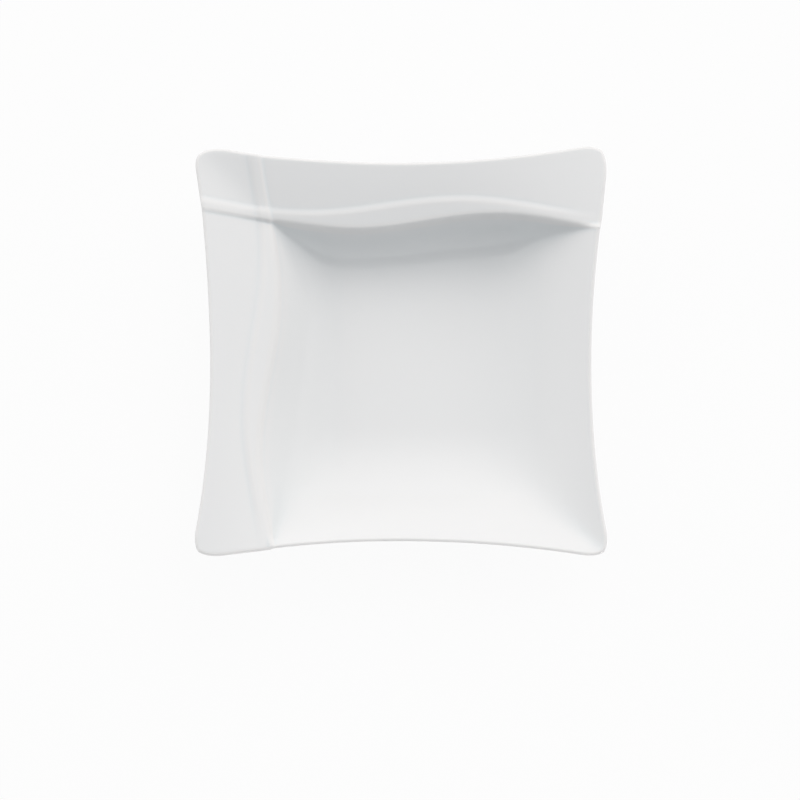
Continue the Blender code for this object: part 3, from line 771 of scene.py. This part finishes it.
class SOUPPLATE_OT_recess(PlateOperator, bpy.types.Operator):
    """Builds the glaze inside the foot ring"""

    bl_idname = "soup_plate.recess"
    bl_label = "Recess glaze"

    def execute(self, context):
        sizes = context.scene.soup_plate_sizes
        form = PlateForm(sizes)
        inner = form.recess_profile(sizes.glaze_gap)
        outer = form.recess_profile(sizes.glaze_gap + sizes.glaze_thickness)
        profile = np.concatenate((inner[::-1], outer))
        turn = np.linspace(0, 2 * math.pi, RECESS_SEGMENTS, endpoint=False)
        around = np.stack((np.cos(turn), np.sin(turn)), axis=-1)
        plan = form.foot_centre + profile[:, :1, None] * around
        rings = in_space(plan, np.broadcast_to(profile[:, 1:], plan.shape[:2]))
        numbers = np.arange(rings.shape[0] * rings.shape[1]).reshape(rings.shape[:2])
        middles = rings[[0, -1]].mean(axis=1)
        points = np.concatenate((rings.reshape(-1, 3), middles))
        top, bottom = len(points) - 2, len(points) - 1
        faces = (
            ring_faces(numbers)[:, ::-1],
            fan_faces(numbers[0], top),
            fan_faces(numbers[-1], bottom)[:, ::-1],
        )
        make_piece(
            "recess_gloss",
            "foot_recess_glaze",
            points,
            faces,
            self.glaze(context),
            np.zeros(len(points)),
        )
        return {"FINISHED"}


def direction(azimuth, elevation):
    """Unit vector towards an azimuth round from the front to the right, and an elevation."""
    flat = math.cos(elevation)
    return Vector((math.sin(azimuth) * flat, -math.cos(azimuth) * flat, math.sin(elevation)))


def seen_mask(wire):
    """One for rays from the camera, off gloss or through glass, and zero for light that falls on things."""
    path = wire.node("ShaderNodeLightPath")
    rays = path.socket.node.outputs
    sum_of_rays = Wire(wire.tree, rays["Is Camera Ray"]) + Wire(wire.tree, rays["Is Glossy Ray"])
    return (sum_of_rays + Wire(wire.tree, rays["Is Transmission Ray"])).clamped()


def stage_sheet(name, points, material):
    """A flat sheet of the studio from its four corners."""
    mesh = bpy.data.meshes.new(name)
    faces = grid_faces(np.arange(4).reshape(2, 2))[:, ::-1]
    mesh.from_pydata(points.reshape(-1, 3).tolist(), [], faces.tolist())
    mesh.materials.append(material)
    sheet = bpy.data.objects.new(name, mesh)
    bpy.context.scene.collection.objects.link(sheet)
    return sheet


class SOUPPLATE_OT_stage(bpy.types.Operator):
    """Builds the floor, the light and the camera"""

    bl_idname = "soup_plate.stage"
    bl_label = "Studio"

    def execute(self, context):
        studio = context.scene.soup_plate_studio
        self.add_floor(studio)
        self.add_flag(studio)
        self.add_ambient(context, studio)
        self.add_softboxes(context, studio)
        self.add_camera(context, studio)
        context.scene.view_settings.view_transform = "Standard"
        return {"FINISHED"}

    @staticmethod
    def add_floor(studio):
        """A wide pale floor that reads white, with a faint shadow of the plate on it."""
        ends = np.array((-0.5, 0.5)) * studio.floor_span
        x, y = np.meshgrid(ends, ends, indexing="ij")
        points = np.stack((x, y, np.full_like(x, -studio.floor_drop)), axis=-1)
        material, shader, wire = new_material("floor")
        shader.inputs["Base Color"].default_value = rgba(studio.floor_colour)
        shader.inputs["Roughness"].default_value = 1.0
        shader.inputs["Specular IOR Level"].default_value = 0.0
        white = wire.node("ShaderNodeEmission", inputs={"Strength": 1.0})
        part = seen_mask(wire) * (1 - studio.floor_shadow)
        lit = Wire(wire.tree, shader.outputs[0])
        shown = wire.node("ShaderNodeMixShader", inputs={0: part, 1: lit, 2: white})
        material.node_tree.links.new(shown.socket, material.node_tree.nodes["Material Output"].inputs[0])
        stage_sheet("floor", points, material)

    @staticmethod
    def add_flag(studio):
        """A dark card that stands in front of the plate and keeps the back of the well in shade."""
        sides = np.array((-0.5, 0.5)) * studio.flag_width
        x, z = np.meshgrid(sides, np.array((0.0, studio.flag_height)), indexing="ij")
        points = np.stack((x, np.full_like(x, -studio.flag_distance), z), axis=-1)
        material, shader, _ = new_material("flag")
        shader.inputs["Base Color"].default_value = rgba(studio.flag_colour)
        shader.inputs["Roughness"].default_value = 1.0
        shader.inputs["Specular IOR Level"].default_value = 0.0
        stage_sheet("flag", points, material).visible_camera = False

    @staticmethod
    def add_ambient(context, studio):
        """A white surround for the eye, and a weaker light from all sides for the plate."""
        world = bpy.data.worlds.new("studio")
        world.use_nodes = True
        wire = Wire(world.node_tree)
        glow = wire.node(
            "ShaderNodeBackground",
            inputs={"Color": rgba(studio.ambient_colour), "Strength": studio.ambient_level},
        )
        white = wire.node("ShaderNodeBackground", inputs={"Color": (1.0, 1.0, 1.0, 1.0), "Strength": 1.0})
        shown = wire.node("ShaderNodeMixShader", inputs={0: seen_mask(wire), 1: glow, 2: white})
        world.node_tree.links.new(shown.socket, world.node_tree.nodes["World Output"].inputs[0])
        context.scene.world = world

    @staticmethod
    def add_softboxes(context, studio):
        """Wide soft lamps round the plate, all turned towards it."""
        for name, azimuth, elevation, distance, width, height, level in SOFTBOXES:
            lamp = bpy.data.lights.new(name, "AREA")
            lamp.shape = "RECTANGLE"
            lamp.size = width
            lamp.size_y = height
            lamp.color = studio.lamp_colour
            lamp.energy = level * (math.pi * distance) ** 2
            box = bpy.data.objects.new(name, lamp)
            box.visible_glossy = False
            away = direction(math.radians(azimuth), math.radians(elevation))
            box.location = away * distance
            box.rotation_euler = away.to_track_quat("Z", "Y").to_euler()
            context.scene.collection.objects.link(box)

    @staticmethod
    def add_camera(context, studio):
        """A long lens high over the front edge, centred a little in front of the plate."""
        lens = bpy.data.cameras.new("camera")
        lens.lens = studio.camera_lens
        camera = bpy.data.objects.new("camera", lens)
        away = direction(studio.camera_azimuth, studio.camera_elevation)
        right = Vector((0.0, 0.0, 1.0)).cross(away).normalized()
        middle = Vector((0.0, 0.0, studio.aim_height))
        camera.location = middle + studio.camera_distance * away
        aim = middle - studio.camera_drop * away.cross(right) - studio.camera_slide * right
        camera.rotation_euler = (camera.location - aim).to_track_quat("Z", "Y").to_euler()
        context.scene.collection.objects.link(camera)
        context.scene.camera = camera


class SOUPPLATE_PT_panel(bpy.types.Panel):
    """Lists the plate's operators and settings"""

    bl_label = "Soup plate"
    bl_idname = "SOUPPLATE_PT_panel"
    bl_space_type = "VIEW_3D"
    bl_region_type = "UI"
    bl_category = "Soup plate"

    def draw(self, context):
        layout = self.layout
        for operator in OPERATORS:
            layout.operator(operator.bl_idname)
        for group in (
            context.scene.soup_plate_sizes,
            context.scene.soup_plate_finish,
            context.scene.soup_plate_studio,
        ):
            box = layout.box()
            for name in group.__annotations__:
                box.prop(group, name)


GROUPS = (PlateSizes, PlateFinish, StudioSettings)
OPERATORS = (SOUPPLATE_OT_body, SOUPPLATE_OT_coat, SOUPPLATE_OT_recess, SOUPPLATE_OT_stage)
CLASSES = (*GROUPS, *OPERATORS, SOUPPLATE_PT_panel)


def register():
    for each in CLASSES:
        bpy.utils.register_class(each)
    bpy.types.Scene.soup_plate_sizes = PointerProperty(type=PlateSizes)
    bpy.types.Scene.soup_plate_finish = PointerProperty(type=PlateFinish)
    bpy.types.Scene.soup_plate_studio = PointerProperty(type=StudioSettings)


def unregister():
    del bpy.types.Scene.soup_plate_studio
    del bpy.types.Scene.soup_plate_finish
    del bpy.types.Scene.soup_plate_sizes
    for each in reversed(CLASSES):
        bpy.utils.unregister_class(each)


def main():
    """Builds the plate and its studio."""
    register()
    bpy.ops.soup_plate.body()
    bpy.ops.soup_plate.coat()
    bpy.ops.soup_plate.recess()
    bpy.ops.soup_plate.stage()
    bpy.context.view_layer.update()


if __name__ == "__main__":
    main()
